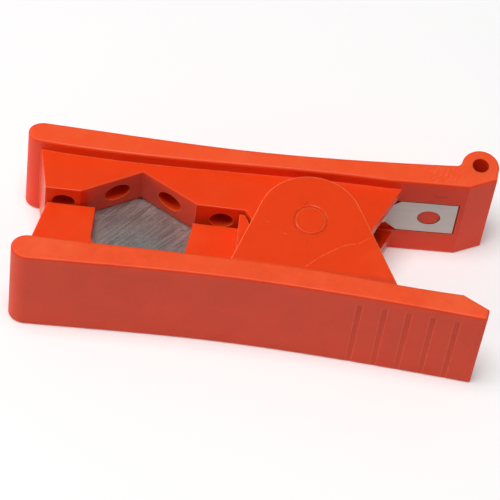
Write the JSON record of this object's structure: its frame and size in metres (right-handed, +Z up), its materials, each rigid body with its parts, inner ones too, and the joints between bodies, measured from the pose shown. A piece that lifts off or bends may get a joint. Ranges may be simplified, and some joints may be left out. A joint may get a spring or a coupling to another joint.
{
  "type": "hose and tube cutter",
  "caption": "Hand-held hose and tube cutter: two moulded jaws on a pivot pin, a V-shaped seat, a flat steel blade and a leaf return spring.",
  "frame": {"origin": "middle of the tool's footprint when it lies on its side, at the level of the lower band edges", "axes": "+X from the jaw tips to the handle ends, +Y from the blade jaw to the anvil jaw, +Z up along the pivot pin, through the tool's thickness"},
  "size_m": [0.0892, 0.0376, 0.023],
  "materials": {
    "jaw_plastic": "satin moulded orange-red plastic with soft gloss and fine flow marks",
    "pin_plastic": "satin moulded orange-red plastic",
    "blade_steel": "ground steel with fine diagonal grinding lines",
    "spring_steel": "smooth bright rolled spring steel"
  },
  "bodies": {
    "anvil_body": {"anvil_jaw": "jaw_plastic", "return_spring": "spring_steel"},
    "blade_body": {"blade_jaw": "jaw_plastic", "cutting_blade": "blade_steel", "pivot_pin": "pin_plastic"}
  },
  "joints": [
    {"name": "jaw", "type": "hinge", "parent": "anvil_body", "child": "blade_body", "pos_m": [0.00979, -0.00148, 0.0115], "axis": [0, 0, 1], "range_deg": [0, 35], "stiffness_Nm_per_rad": 0.25, "springref_deg": -20.05, "deforming": ["return_spring"]}
  ]
}
